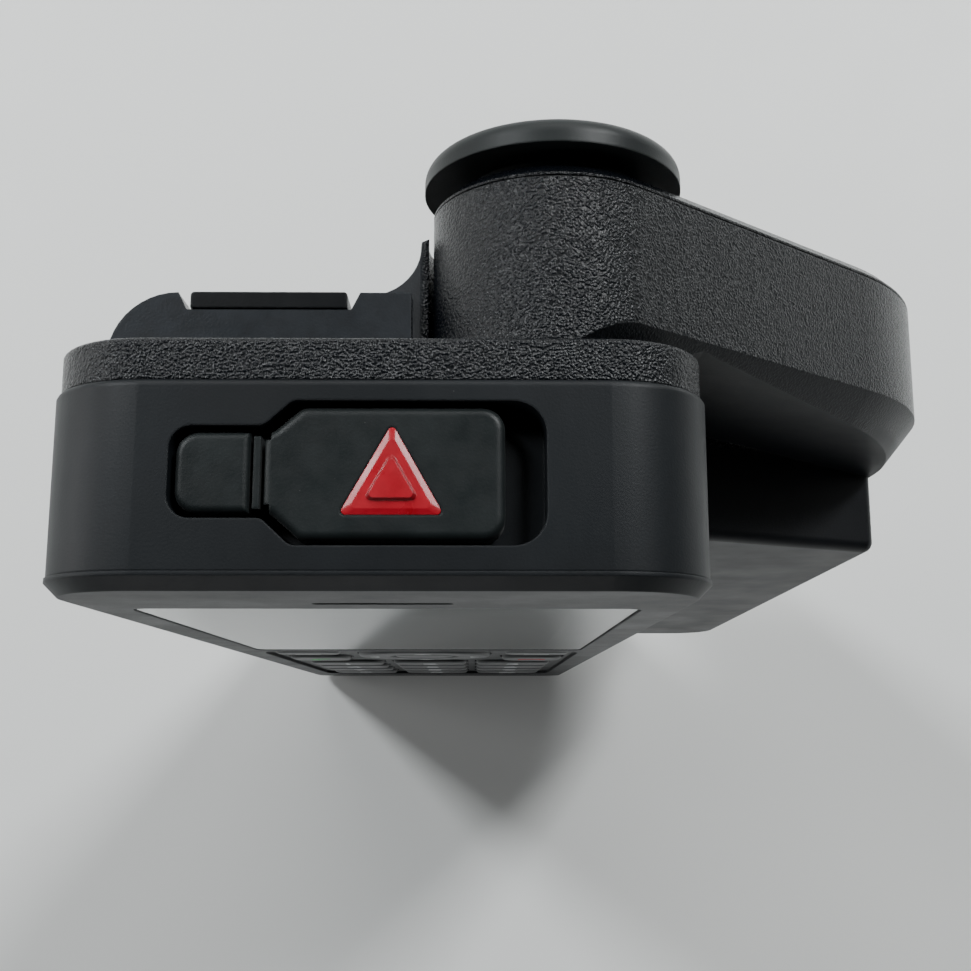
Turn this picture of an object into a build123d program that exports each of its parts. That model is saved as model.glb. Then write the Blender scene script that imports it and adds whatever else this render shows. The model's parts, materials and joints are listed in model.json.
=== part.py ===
from build123d import *
from math import atan, cos, degrees, radians, sin, tan
import os

# Satellite handset with a GPS receiver, an emergency button and a swing-out antenna.
# +Z runs up the handset from its flat base, the display faces -Y and the antenna folds along +X.

# ---- driving dimensions, millimetres ----
BODY_WIDTH = 49.2
BODY_LENGTH = 169.0
FACE_Y = -12.0  # display face
FASCIA_BACK_Y = -10.7
SEAM_Y = 2.9  # joint between front and rear housing
RIM_Y = 6.0  # back of the rim of the rear housing
BACK_Y = 12.5  # back of the battery plateau
BODY_CORNER = 8.0
FOOT_CORNER = 5.0
WALL = 2.0
LIP = 0.12  # the fascia stands this far proud of the front housing
RIM_INSET = 0.45
PLATEAU_TOP_Z = 159.4
HALF_WIDTH = BODY_WIDTH / 2

# Emergency flap in the top end
POCKET_FLOOR_Z = BODY_LENGTH - 3.4
FLAP_TOP_Z = BODY_LENGTH - 0.4
FLAP_THICKNESS = 2.2
FLAP_GAP = 0.4
FLAP_HINGE_X = -7.65
HINGE_RADIUS = 0.45
ANCHOR_X = (-13.85, -8.15)
NECK_Y = (-6.65, -0.9)
FLAP_Y = (-8.55, 0.9)
FLAP_END_X = 9.15
POCKET_END_X = 12.05
SOS_X = 1.23
SOS_Y = -3.8

# Antenna
PIVOT_X = 13.4
PIVOT_Z = 156.1
BARREL_RADIUS = 9.8
ARM_ANGLE = 39.7  # slope of the arm below the horizontal
ANTENNA_X = (25.1, 52.25)
ANTENNA_TIP_Z = 24.0
ANTENNA_WALL = 1.8
ARM_FRONT_Y = RIM_Y + 0.3
SHELL_BACK_Y = 19.5
COVER_Y = (19.6, 20.7)
CAP_Y = (21.9, 24.2)
CAP_RADIUS = 10.55
ELBOW_RADIUS = 26.0
PADDLE_TOP_Z = (133.4, 123.0)  # upper end of the paddle's front part, at its inner and outer side
PADDLE_FOOT_Z = 26.0
PADDLE_SIDE_X = 49.2
PADDLE_FRONT_TOP_Y = -3.0
PADDLE_FRONT_TIP_Y = -5.4
SHAFT_RADIUS = 4.0
RUNNING_FIT = 0.06

# Battery and keypad
BATTERY_X = 17.4
BATTERY_Z = (27.0, 103.0)
BAY_Z = (24.0, 104.0)
BATTERY_BACK_Y = 10.8
COVER_THICKNESS = 1.4
KEY_GAP = 0.3
KEY_BACK_Y = -9.9
KEYPAD_RECESS = 0.5
SCREW_PLACES = [(-18.3, 150.0), (-18.3, 12.0), (18.3, 12.0), (18.3, 118.0)]

os.makedirs("parts", exist_ok=True)


def at_y(y):
    """Sketch plane across the handset at depth y: local axes X and Z, extrusion runs towards the display."""
    return Plane.XZ.offset(-y)


def slab(x, z, y, radius, mode=Mode.ADD):
    """Plate with rounded corners spanning x, z and y, each given as (low, high)."""
    with BuildSketch(at_y(y[1])) as outline:
        with Locations(((x[0] + x[1]) / 2, (z[0] + z[1]) / 2)):
            RectangleRounded(x[1] - x[0], z[1] - z[0], radius)
    extrude(outline.sketch, amount=y[1] - y[0], mode=mode)


def block(x, y, z, mode=Mode.ADD):
    """Plain box spanning x, y and z, each given as (low, high)."""
    with Locations(((x[0] + x[1]) / 2, (y[0] + y[1]) / 2, (z[0] + z[1]) / 2)):
        Box(x[1] - x[0], y[1] - y[0], z[1] - z[0], mode=mode)


def disc(x, z, y, radius, mode=Mode.ADD):
    """Round post along Y at (x, z), spanning y = (low, high)."""
    with BuildSketch(at_y(y[1])) as outline:
        with Locations((x, z)):
            Circle(radius)
    extrude(outline.sketch, amount=y[1] - y[0], mode=mode)


def body_slab(inset, y, mode=Mode.ADD, foot=0.0):
    """Slab of the handset's own outline, drawn in by inset; foot lifts its lower end off the base."""
    with BuildSketch(at_y(y[1])) as outline:
        with Locations((0, (BODY_LENGTH - inset + foot) / 2)):
            Rectangle(BODY_WIDTH - 2 * inset, BODY_LENGTH - inset - foot)
        fillet(outline.vertices().group_by(Axis.Y)[-1], BODY_CORNER - inset)
        fillet(outline.vertices().group_by(Axis.Y)[0], FOOT_CORNER - min(inset, WALL))
    extrude(outline.sketch, amount=y[1] - y[0], mode=mode)


def finish(piece, name):
    """Label a finished piece and write its STEP file."""
    piece.label = name
    export_step(piece, f"parts/{name}.step")


# ---- keys: name, centre x, centre z, width, height, corner radius ----
KEY_COLUMNS = (-13.0, 0.0, 13.0)
KEY_ROWS = (54.0, 42.5, 31.0, 19.5)
KEY_NAMES = ("1", "2", "3", "4", "5", "6", "7", "8", "9", "star", "0", "hash")
KEYS = [
    (f"key_{name}", KEY_COLUMNS[index % 3], KEY_ROWS[index // 3], 11.4, 8.2, 2.6)
    for index, name in enumerate(KEY_NAMES)
]
KEYS += [
    ("key_soft_left", -15.3, 84.5, 8.6, 6.4, 2.4),
    ("key_soft_right", 15.3, 84.5, 8.6, 6.4, 2.4),
    ("key_call", -15.3, 69.5, 8.6, 9.6, 3.2),
    ("key_end", 15.3, 69.5, 8.6, 9.6, 3.2),
]
NAV_CENTRE = (0.0, 77.0)
NAV_OUTER = 9.2
NAV_INNER = 4.6
NAV_SELECT = 4.2

# ---- front housing: a tray that holds the electronics, with the flap pocket in its top end ----
FLAP_BOSS_X = (-16.5, 14.2)
FLAP_BOSS_Z = (161.5, 168.0)
LENS_X = 20.4
LENS_Z = (94.0, 154.0)
VOLUME_Z = {"volume_up": (119.0, 129.0), "volume_down": (106.0, 116.0)}
VOLUME_Y = (-5.2, -1.2)
PORT_Z = (44.0, 70.0)
PORT_Y = (-6.2, 0.2)
PORT_DEPTH = 1.1
SIDE_X = -(HALF_WIDTH - LIP)
JACK_Z = 62.5
JACK_Y = -3.1
JACK_RADIUS = 2.6
USB_Z = (47.0, 55.0)
USB_Y = (-4.1, -1.3)


def flap_pocket(grow):
    """Keyhole outline of the flap: a narrow anchor, a flared neck and a wide lid, grown by a gap."""
    left = ANCHOR_X[0] - grow
    right = FLAP_END_X + grow
    neck = (NECK_Y[0] - grow, NECK_Y[1] + grow)
    wide = (FLAP_Y[0] - grow, FLAP_Y[1] + grow)
    flare_start = FLAP_HINGE_X + 0.5 - 1.4 * grow
    flare_end = FLAP_HINGE_X + 2.6 - 1.6 * grow
    with BuildSketch() as outline:
        with BuildLine():
            Polyline(
                (left, neck[0]),
                (flare_start, neck[0]),
                (flare_end, wide[0]),
                (right, wide[0]),
                (right, wide[1]),
                (flare_end, wide[1]),
                (flare_start, neck[1]),
                (left, neck[1]),
                close=True,
            )
        make_face()
        ends = outline.vertices().group_by(Axis.X)
        fillet(ends[0] + ends[-1], 1.6)
        fillet(outline.vertices().filter_by_position(Axis.X, flare_start - 0.1, flare_end + 0.1), 1.0)
    return outline.sketch


with BuildPart() as front_housing:
    body_slab(LIP, (FASCIA_BACK_Y, SEAM_Y))
    fillet(front_housing.faces().sort_by(Axis.Y)[-1].edges().group_by(Axis.Z)[-1], 0.5)
    body_slab(WALL, (FASCIA_BACK_Y, SEAM_Y), Mode.SUBTRACT, foot=WALL)
    block(FLAP_BOSS_X, (FASCIA_BACK_Y, SEAM_Y), FLAP_BOSS_Z)
    # flap pocket, with a finger gap past the free end of the flap
    extrude(
        Plane.XY.offset(POCKET_FLOOR_Z) * flap_pocket(FLAP_GAP), amount=BODY_LENGTH, mode=Mode.SUBTRACT
    )
    with BuildSketch(Plane.XY.offset(POCKET_FLOOR_Z)) as finger_gap:
        with Locations(((POCKET_END_X + FLAP_END_X - 6) / 2, (FLAP_Y[0] + FLAP_Y[1]) / 2)):
            RectangleRounded(POCKET_END_X - FLAP_END_X + 6, FLAP_Y[1] - FLAP_Y[0] + 2 * FLAP_GAP, 2.4)
    extrude(amount=BODY_LENGTH, mode=Mode.SUBTRACT)
    # chamber and guide hole of the emergency button
    block((SOS_X - 4.3, SOS_X + 4.3), (SOS_Y - 4.3, SOS_Y + 4.3), (161.0, 164.3), Mode.SUBTRACT)
    with Locations((SOS_X, SOS_Y, POCKET_FLOOR_Z)):
        Cylinder(3.3, 6.0, mode=Mode.SUBTRACT)
    # screw bosses along the side walls
    for boss_x, boss_z in SCREW_PLACES:
        edge = HALF_WIDTH - WALL / 2
        span = (boss_x - 2.4, edge) if boss_x > 0 else (-edge, boss_x + 2.4)
        block(span, (-7.0, SEAM_Y), (boss_z - 2.4, boss_z + 2.4))
        disc(boss_x, boss_z, (-5.0, SEAM_Y), 1.0, Mode.SUBTRACT)
    # openings in the left wall: two volume keys, and the pocket of the port cover
    for volume_z in VOLUME_Z.values():
        block((-30, -15), VOLUME_Y, volume_z, Mode.SUBTRACT)
    block((-30, SIDE_X + PORT_DEPTH), PORT_Y, PORT_Z, Mode.SUBTRACT)
    with Locations(Plane(origin=(-HALF_WIDTH, JACK_Y, JACK_Z), z_dir=(1, 0, 0))):
        Cylinder(JACK_RADIUS + 0.2, 8.0, mode=Mode.SUBTRACT)
    block((-30, -15), (USB_Y[0] - 0.2, USB_Y[1] + 0.2), (USB_Z[0] - 0.2, USB_Z[1] + 0.2), Mode.SUBTRACT)
    # groove for the seal
    body_slab(0.7, (SEAM_Y - 0.6, SEAM_Y), Mode.SUBTRACT, foot=0.7)
    with BuildSketch(at_y(SEAM_Y)) as land:
        with Locations((0, BODY_LENGTH / 2)):
            RectangleRounded(BODY_WIDTH - 3.0, BODY_LENGTH - 3.0, BODY_CORNER - 1.5)
        with Locations((0, BODY_LENGTH / 2)):
            RectangleRounded(
                BODY_WIDTH - 2 * WALL, BODY_LENGTH - 2 * WALL, BODY_CORNER - WALL, mode=Mode.SUBTRACT
            )
    extrude(land.sketch, amount=0.6)
finish(front_housing.part, "front_housing")

# ---- fascia: the front cover with the window, the key openings and the earpiece slot ----
with BuildPart() as fascia:
    body_slab(0, (FACE_Y, FASCIA_BACK_Y))
    chamfer(fascia.faces().sort_by(Axis.Y)[0].edges(), 1.0)
    slab((-LENS_X - 0.1, LENS_X + 0.1), (LENS_Z[0] - 0.1, LENS_Z[1] + 0.1), (FACE_Y, FACE_Y + 0.9), 1.6,
         Mode.SUBTRACT)
    slab((-18.4, 18.4), (97.0, 150.5), (FACE_Y, FASCIA_BACK_Y), 0.8, Mode.SUBTRACT)
    slab((-20.6, 20.6), (13.0, 91.0), (FACE_Y, FACE_Y + KEYPAD_RECESS), 4.0, Mode.SUBTRACT)
    for _, key_x, key_z, width, height, radius in KEYS:
        slab((key_x - width / 2 - KEY_GAP, key_x + width / 2 + KEY_GAP),
             (key_z - height / 2 - KEY_GAP, key_z + height / 2 + KEY_GAP),
             (FACE_Y, FASCIA_BACK_Y), radius + KEY_GAP, Mode.SUBTRACT)
    disc(*NAV_CENTRE, (FACE_Y, FASCIA_BACK_Y), NAV_OUTER + KEY_GAP, Mode.SUBTRACT)
    slab((-5.4, 5.4), (157.8, 159.0), (FACE_Y, FASCIA_BACK_Y), 0.59, Mode.SUBTRACT)
    disc(0, 7.0, (FACE_Y, FASCIA_BACK_Y), 0.6, Mode.SUBTRACT)
finish(fascia.part, "fascia")

with BuildPart() as display_lens:
    slab((-LENS_X, LENS_X), LENS_Z, (FACE_Y + 0.05, FACE_Y + 0.85), 1.5)
    chamfer(display_lens.faces().sort_by(Axis.Y)[0].edges(), 0.2)
finish(display_lens.part, "display_lens")

with BuildPart() as lcd_module:
    slab((-18.9, 18.9), (95.5, 152.0), (FASCIA_BACK_Y + 0.05, -8.0), 0.6)
    slab((-15.5, 15.5), (99.0, 145.6), (FASCIA_BACK_Y - 0.25, FASCIA_BACK_Y + 0.05), 0.3)
finish(lcd_module.part, "lcd_module")

# ---- keypad ----
for key_name, key_x, key_z, width, height, radius in KEYS:
    with BuildPart() as key:
        slab((key_x - width / 2, key_x + width / 2), (key_z - height / 2, key_z + height / 2),
             (FACE_Y, KEY_BACK_Y), radius)
        fillet(key.faces().sort_by(Axis.Y)[0].edges(), 0.5)
    finish(key.part, key_name)

with BuildPart() as nav_ring:
    disc(*NAV_CENTRE, (FACE_Y, KEY_BACK_Y), NAV_OUTER)
    disc(*NAV_CENTRE, (FACE_Y, KEY_BACK_Y), NAV_INNER, Mode.SUBTRACT)
    fillet(nav_ring.faces().sort_by(Axis.Y)[0].edges(), 0.5)
finish(nav_ring.part, "nav_ring")

with BuildPart() as nav_select:
    disc(*NAV_CENTRE, (FACE_Y, KEY_BACK_Y), NAV_SELECT)
    fillet(nav_select.faces().sort_by(Axis.Y)[0].edges(), 0.5)
finish(nav_select.part, "nav_select")

with BuildPart() as keypad_mat:
    slab((-20.4, 20.4), (13.2, 90.6), (-9.4, -8.8), 3.0)
finish(keypad_mat.part, "keypad_mat")

with BuildPart() as dome_sheet:
    slab((-20.2, 20.2), (13.4, 90.4), (-8.7, -8.3), 2.8)
finish(dome_sheet.part, "dome_sheet")

# ---- volume keys in the left wall ----
for volume_name, volume_z in VOLUME_Z.items():
    with BuildPart() as volume_key:
        block((SIDE_X - 0.15, -20.4), (VOLUME_Y[0] + 0.25, VOLUME_Y[1] - 0.25),
              (volume_z[0] + 0.25, volume_z[1] - 0.25))
        fillet(volume_key.edges().filter_by(Axis.X), 1.2)
        fillet(volume_key.faces().sort_by(Axis.X)[0].edges(), 0.25)
    finish(volume_key.part, volume_name)

with BuildPart() as volume_board:
    block((-19.9, -19.3), VOLUME_Y, (105.0, 130.0))
finish(volume_board.part, "volume_board")

# ---- side port cover, with a round hinge bead, and the two sockets behind it ----
PORT_HINGE_RADIUS = (PORT_DEPTH - 0.15) / 2
PORT_AXIS = (SIDE_X + 0.05 + PORT_HINGE_RADIUS, PORT_Y[0] + 0.3 + PORT_HINGE_RADIUS)
with BuildPart() as port_cover:
    block((SIDE_X + 0.05, SIDE_X + PORT_DEPTH - 0.1), (PORT_AXIS[1], PORT_Y[1] - 0.3),
          (PORT_Z[0] + 0.3, PORT_Z[1] - 0.3))
    with Locations((*PORT_AXIS, sum(PORT_Z) / 2)):
        Cylinder(PORT_HINGE_RADIUS, PORT_Z[1] - PORT_Z[0] - 0.6)
    fillet(port_cover.edges().filter_by(Axis.X).group_by(Axis.Y)[-1], 2.0)
    fillet(port_cover.faces().sort_by(Axis.X)[0].edges().group_by(Axis.Y)[-1], 0.3)
finish(port_cover.part, "port_cover")

with BuildPart() as audio_jack:
    with Locations(Plane(origin=(-15.5, JACK_Y, JACK_Z), z_dir=(1, 0, 0))):
        Cylinder(JACK_RADIUS, 12.0)
        Cylinder(1.8, 12.0, mode=Mode.SUBTRACT)
finish(audio_jack.part, "audio_jack")

with BuildPart() as usb_socket:
    block((-21.4, -16.0), USB_Y, USB_Z)
    block((-21.4, -17.0), (USB_Y[0] + 0.4, USB_Y[1] - 0.4), (USB_Z[0] + 0.5, USB_Z[1] - 0.5), Mode.SUBTRACT)
    block((-20.9, -17.0), (-2.9, -2.5), (USB_Z[0] + 1.6, USB_Z[1] - 1.6))
finish(usb_socket.part, "usb_socket")

# ---- electronics ----
BOARD_Y = (-6.8, -5.8)
with BuildPart() as main_board:
    slab((-15.6, 15.6), (6.0, 160.0), BOARD_Y, 1.0)
finish(main_board.part, "main_board")

with BuildPart() as shield_cans:
    for can_x, can_z in [((-13.5, 3.0), (105.0, 134.0)), ((-13.5, 13.5), (76.0, 100.0))]:
        slab(can_x, can_z, (BOARD_Y[1], -3.4), 0.8)
finish(shield_cans.part, "shield_cans")

with BuildPart() as earpiece_speaker:
    slab((-7.0, 7.0), (155.0, 161.2), (FASCIA_BACK_Y + 0.1, -7.6), 1.5)
finish(earpiece_speaker.part, "earpiece_speaker")

with BuildPart() as microphone:
    disc(0, 7.0, (FASCIA_BACK_Y + 0.1, -8.6), 2.0)
finish(microphone.part, "microphone")

with BuildPart() as loudspeaker:
    slab((-9.0, 9.0), (8.0, 20.0), (BOARD_Y[1] + 0.1, -1.8), 2.0)
finish(loudspeaker.part, "loudspeaker")

with BuildPart() as vibration_motor:
    with Locations(Plane(origin=(9.0, -3.2, 112.0), z_dir=(1, 0, 0))):
        Cylinder(2.4, 9.0)
finish(vibration_motor.part, "vibration_motor")

with BuildPart() as gps_patch_antenna:
    slab((-14.5, 0.5), (140.0, 155.0), (BOARD_Y[1] + 0.05, -2.0), 0.6)
finish(gps_patch_antenna.part, "gps_patch_antenna")

with BuildPart() as sim_holder:
    slab((-8.0, 9.0), (30.0, 45.0), (BOARD_Y[1] + 0.05, -4.3), 0.5)
    slab((-6.6, 7.6), (31.0, 45.0), (-5.2, -4.3), 0.3, Mode.SUBTRACT)
finish(sim_holder.part, "sim_holder")

# ---- rear housing: textured rim, battery plateau and the guard beside the antenna pivot ----
ARM_RUN = (cos(radians(ARM_ANGLE)), -sin(radians(ARM_ANGLE)))  # along the arm, away from the pivot
ARM_OUT = (sin(radians(ARM_ANGLE)), cos(radians(ARM_ANGLE)))  # across the arm, towards its outer edge


def beside_pivot(along, across):
    """Point in the X-Z plane, measured from the pivot along and across the arm."""
    return (
        PIVOT_X + along * ARM_RUN[0] + across * ARM_OUT[0],
        PIVOT_Z + along * ARM_RUN[1] + across * ARM_OUT[1],
    )


GUARD_RADIUS = BARREL_RADIUS + 0.45
GUARD_WALL = 0.6
GUARD_BLEND = 4.6
GUARD_TOP_Y = 17.6
GUARD_LENGTH = 11.0
GUARD_TURN = 60.0
GUARD_PLANE = Plane(origin=(PIVOT_X, 0, PIVOT_Z), x_dir=(-ARM_OUT[0], 0, -ARM_OUT[1]),
                    z_dir=(ARM_RUN[0], 0, ARM_RUN[1]))


def guard_profile():
    """Section of the guard: a thin wall beside the antenna with a hollow blend down to the plateau.

    Local X is the distance from the pivot axis, local Y is the depth.
    """
    wall = GUARD_RADIUS + GUARD_WALL
    with BuildSketch() as section:
        with BuildLine():
            Line((GUARD_RADIUS, RIM_Y - 1), (GUARD_RADIUS, GUARD_TOP_Y))
            Line((GUARD_RADIUS, GUARD_TOP_Y), (wall, GUARD_TOP_Y - 0.3))
            Line((wall, GUARD_TOP_Y - 0.3), (wall, BACK_Y + GUARD_BLEND))
            RadiusArc((wall, BACK_Y + GUARD_BLEND), (wall + GUARD_BLEND, BACK_Y), -GUARD_BLEND)
            Line((wall + GUARD_BLEND, BACK_Y), (wall + GUARD_BLEND, RIM_Y - 1))
            Line((wall + GUARD_BLEND, RIM_Y - 1), (GUARD_RADIUS, RIM_Y - 1))
        make_face()
    return section.sketch


PLATEAU_X = (-21.8, 22.45)
PLATEAU_END_X = 2.0  # beside the pivot
BATTERY_COVER_OUTLINE = [
    (-17.3, 9.0), (17.3, 9.0), (17.3, 119.0), (-1.8, 133.0), (-1.8, 145.0), (-17.3, 145.0)
]
LATCH_X = (-15.4, -3.05)
LATCH_Z = (146.0, PLATEAU_TOP_Z)


def battery_cover_face(grow):
    """Outline of the battery cover, grown by a gap."""
    with BuildSketch() as outline:
        with BuildLine():
            Polyline(*BATTERY_COVER_OUTLINE, close=True)
        make_face()
        fillet(outline.vertices(), 2.5)
        if grow:
            offset(amount=grow)
    return outline.sketch


with BuildPart() as rear_housing:
    body_slab(RIM_INSET, (SEAM_Y, RIM_Y))
    fillet(rear_housing.faces().sort_by(Axis.Y)[-1].edges().group_by(Axis.Z)[1:], 0.35)
    # battery plateau: full width below the arm, half width beside the pivot
    with BuildSketch(at_y(BACK_Y)) as plateau:
        with BuildLine():
            Polyline(
                (PLATEAU_X[0], 0),
                (PLATEAU_X[1], 0),
                (PLATEAU_X[1], 130.0),
                beside_pivot(19.0, -BARREL_RADIUS - 0.5),
                beside_pivot(0, -BARREL_RADIUS - 0.5),
                (PLATEAU_END_X, beside_pivot(0, -BARREL_RADIUS - 0.5)[1] + 4),
                (PLATEAU_END_X, PLATEAU_TOP_Z),
                (PLATEAU_X[0], PLATEAU_TOP_Z),
                close=True,
            )
        make_face()
    extrude(plateau.sketch, amount=BACK_Y - RIM_Y + 0.5)
    sides = rear_housing.faces().sort_by(Axis.Y)[-1].edges().filter_by(Axis.Z)
    fillet(sides.sort_by(Axis.X)[0], 5.4)
    fillet(rear_housing.faces().sort_by(Axis.Y)[-1].edges().filter_by(Axis.Z).sort_by(Axis.X)[-1], 5.0)
    # guard: turned about the pivot, then straight on beside the arm
    revolve(GUARD_PLANE * guard_profile(), Axis((PIVOT_X, 0, PIVOT_Z), (0, 1, 0)), GUARD_TURN)
    extrude(GUARD_PLANE * guard_profile(), amount=GUARD_LENGTH)
    # hollows behind the rim and inside the plateau, and the battery bay with its own floor and walls
    body_slab(WALL + 0.4, (SEAM_Y - 1, 4.2), Mode.SUBTRACT, foot=WALL)
    slab((-19.6, 0.0), (108.0, 157.0), (SEAM_Y, 10.4), 1.5, Mode.SUBTRACT)
    slab((-19.6, 19.6), (3.0, 20.0), (SEAM_Y, 10.4), 1.5, Mode.SUBTRACT)
    slab((-BATTERY_X - 1.8, BATTERY_X + 1.8), (BAY_Z[0] - 1.6, BAY_Z[1] + 1.6), (-0.4, 5.0), 1.8)
    slab((-BATTERY_X - 0.4, BATTERY_X + 0.4), BAY_Z, (1.0, BACK_Y), 1.2, Mode.SUBTRACT)
    extrude(at_y(BACK_Y) * battery_cover_face(0.3), amount=COVER_THICKNESS + 0.1, mode=Mode.SUBTRACT)
    # open groove of the latch, with a small notch at each side of its mouth
    block((LATCH_X[0] - 0.3, LATCH_X[1] + 0.3), (11.1, BACK_Y + 1), (LATCH_Z[0] - 1, PLATEAU_TOP_Z + 1),
          Mode.SUBTRACT)
    for notch_x in (LATCH_X[0] - 0.3, LATCH_X[1] + 0.3):
        with BuildSketch(Plane.XY.offset(PLATEAU_TOP_Z)) as notch:
            with BuildLine():
                Polyline((notch_x - 0.7, BACK_Y), (notch_x + 0.7, BACK_Y), (notch_x, 11.1), close=True)
            make_face()
        extrude(notch.sketch, amount=-8.0, mode=Mode.SUBTRACT)
    # pivot hole, screw wells and screw holes
    disc(PIVOT_X, PIVOT_Z, (SEAM_Y, RIM_Y + 1), SHAFT_RADIUS + 0.2, Mode.SUBTRACT)
    for screw_x, screw_z in SCREW_PLACES:
        disc(screw_x, screw_z, (SEAM_Y, 5.0), 2.2)
        disc(screw_x, screw_z, (SEAM_Y - 1, BACK_Y), 1.35, Mode.SUBTRACT)
        disc(screw_x, screw_z, (4.8, BACK_Y), 2.3, Mode.SUBTRACT)
finish(rear_housing.part, "rear_housing")

with BuildPart() as housing_seal:
    body_slab(0.75, (SEAM_Y - 0.55, SEAM_Y - 0.02), foot=0.75)
    body_slab(1.45, (SEAM_Y - 1, SEAM_Y), Mode.SUBTRACT, foot=1.45)
finish(housing_seal.part, "housing_seal")

with BuildPart() as housing_screws:
    for screw_x, screw_z in SCREW_PLACES:
        disc(screw_x, screw_z, (-4.5, 4.85), 1.0)
        disc(screw_x, screw_z, (4.85, 6.45), 2.0)
        with BuildSketch(at_y(6.45)) as socket:
            with Locations((screw_x, screw_z)):
                RegularPolygon(0.95, 6)
        extrude(socket.sketch, amount=0.9, mode=Mode.SUBTRACT)
finish(housing_screws.part, "housing_screws")

# ---- battery, its contacts, its cover and the latch ----
with BuildPart() as battery_pack:
    slab((-BATTERY_X, BATTERY_X), BATTERY_Z, (1.1, BATTERY_BACK_Y), 1.0)
    fillet(battery_pack.edges().filter_by(Axis.Z), 0.8)
finish(battery_pack.part, "battery_pack")

with BuildPart() as battery_contacts:
    slab((-6.0, 6.0), (24.1, 26.8), (1.1, 6.5), 0.4)
finish(battery_contacts.part, "battery_contacts")

with BuildPart() as battery_cover:
    extrude(at_y(BACK_Y) * battery_cover_face(0), amount=COVER_THICKNESS)
    chamfer(battery_cover.faces().sort_by(Axis.Y)[-1].edges(), 0.3)
finish(battery_cover.part, "battery_cover")

with BuildPart() as battery_latch:
    block(LATCH_X, (11.2, BACK_Y), (LATCH_Z[0], LATCH_Z[1] + 0.1))
    for ridge in range(5):
        groove_z = LATCH_Z[0] + 2.4 + 1.8 * ridge
        block((LATCH_X[0] + 2, LATCH_X[1] - 2), (BACK_Y - 0.35, BACK_Y), (groove_z, groove_z + 0.8), Mode.SUBTRACT)
    fillet(battery_latch.edges().filter_by(Axis.Z).group_by(Axis.Y)[-1], 0.3)
finish(battery_latch.part, "battery_latch")

# ---- emergency flap, its anchor, its warning triangle, the button and the switch below ----
FLAP_BOTTOM_Z = FLAP_TOP_Z - FLAP_THICKNESS
FLAP_AXIS_X = FLAP_HINGE_X + HINGE_RADIUS
EMBLEM_Y = (-6.8, -0.25)
EMBLEM_HALF = 3.7
EMBLEM_Z = FLAP_TOP_Z - 0.7


def triangle(grow, height):
    """Warning triangle, its apex towards the back, grown evenly, as a sketch at the given height."""
    with BuildSketch(Plane.XY.offset(height)) as outline:
        with BuildLine():
            Polyline(
                (SOS_X - EMBLEM_HALF, EMBLEM_Y[0]),
                (SOS_X + EMBLEM_HALF, EMBLEM_Y[0]),
                (SOS_X, EMBLEM_Y[1]),
                close=True,
            )
        make_face()
        if grow:
            offset(amount=grow, kind=Kind.INTERSECTION)
        fillet(outline.vertices(), 0.3)
    return outline.sketch


with BuildPart() as sos_flap:
    extrude(Plane.XY.offset(FLAP_BOTTOM_Z) * flap_pocket(0), amount=FLAP_THICKNESS)
    block((-20, FLAP_AXIS_X), (-15, 5), (FLAP_BOTTOM_Z - 1, FLAP_TOP_Z + 1), Mode.SUBTRACT)
    rim = sos_flap.faces().sort_by(Axis.Z)[-1].edges().filter_by_position(Axis.X, FLAP_AXIS_X + 0.1, 20)
    fillet(rim, 0.6)
    # round hinge bead on the flap's turning axis
    with Locations(Plane(origin=(FLAP_AXIS_X, sum(NECK_Y) / 2, FLAP_TOP_Z - HINGE_RADIUS), z_dir=(0, 1, 0))):
        Cylinder(HINGE_RADIUS, NECK_Y[1] - NECK_Y[0] - 1.2)
    extrude(triangle(0, EMBLEM_Z), amount=2.0, mode=Mode.SUBTRACT)
finish(sos_flap.part, "sos_flap")

with BuildPart() as sos_emblem:
    extrude(triangle(-0.02, EMBLEM_Z), amount=FLAP_TOP_Z - EMBLEM_Z)
    loft(Sketch() + [triangle(-0.02, FLAP_TOP_Z), triangle(-0.45, FLAP_TOP_Z + 0.15)])
    loft(Sketch() + [triangle(-1.0, FLAP_TOP_Z + 0.1), triangle(-1.15, FLAP_TOP_Z + 0.45)])
finish(sos_emblem.part, "sos_emblem")

with BuildPart() as sos_anchor:
    extrude(Plane.XY.offset(POCKET_FLOOR_Z + 0.1) * flap_pocket(0), amount=FLAP_TOP_Z - POCKET_FLOOR_Z - 0.1)
    block((ANCHOR_X[1] - 0.5, 20), (-15, 5), (POCKET_FLOOR_Z, BODY_LENGTH), Mode.SUBTRACT)
    fillet(sos_anchor.faces().sort_by(Axis.Z)[-1].edges(), 0.5)
    # floor strip and the ridge between the two hinge grooves
    block((ANCHOR_X[1] - 1, ANCHOR_X[1] + 0.35), NECK_Y, (POCKET_FLOOR_Z + 0.1, POCKET_FLOOR_Z + 0.7))
    block((ANCHOR_X[1] - 0.25, ANCHOR_X[1] + 0.25), (NECK_Y[0] + 0.3, NECK_Y[1] - 0.3),
          (POCKET_FLOOR_Z + 0.1, FLAP_TOP_Z - 0.15))
finish(sos_anchor.part, "sos_anchor")

with BuildPart() as sos_button:
    with Locations((SOS_X, SOS_Y, 163.4)):
        Cylinder(4.0, 0.7, align=(Align.CENTER, Align.CENTER, Align.MIN))
        Cylinder(3.0, 2.75, align=(Align.CENTER, Align.CENTER, Align.MIN))
    fillet(sos_button.faces().sort_by(Axis.Z)[-1].edges(), 0.4)
finish(sos_button.part, "sos_button")

with BuildPart() as sos_switch:
    block((SOS_X - 3, SOS_X + 3), (SOS_Y - 3, SOS_Y + 3), (161.6, 162.4))
    with Locations((SOS_X, SOS_Y, 162.4)):
        Cylinder(1.5, 0.4, align=(Align.CENTER, Align.CENTER, Align.MIN))
finish(sos_switch.part, "sos_switch")

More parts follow.
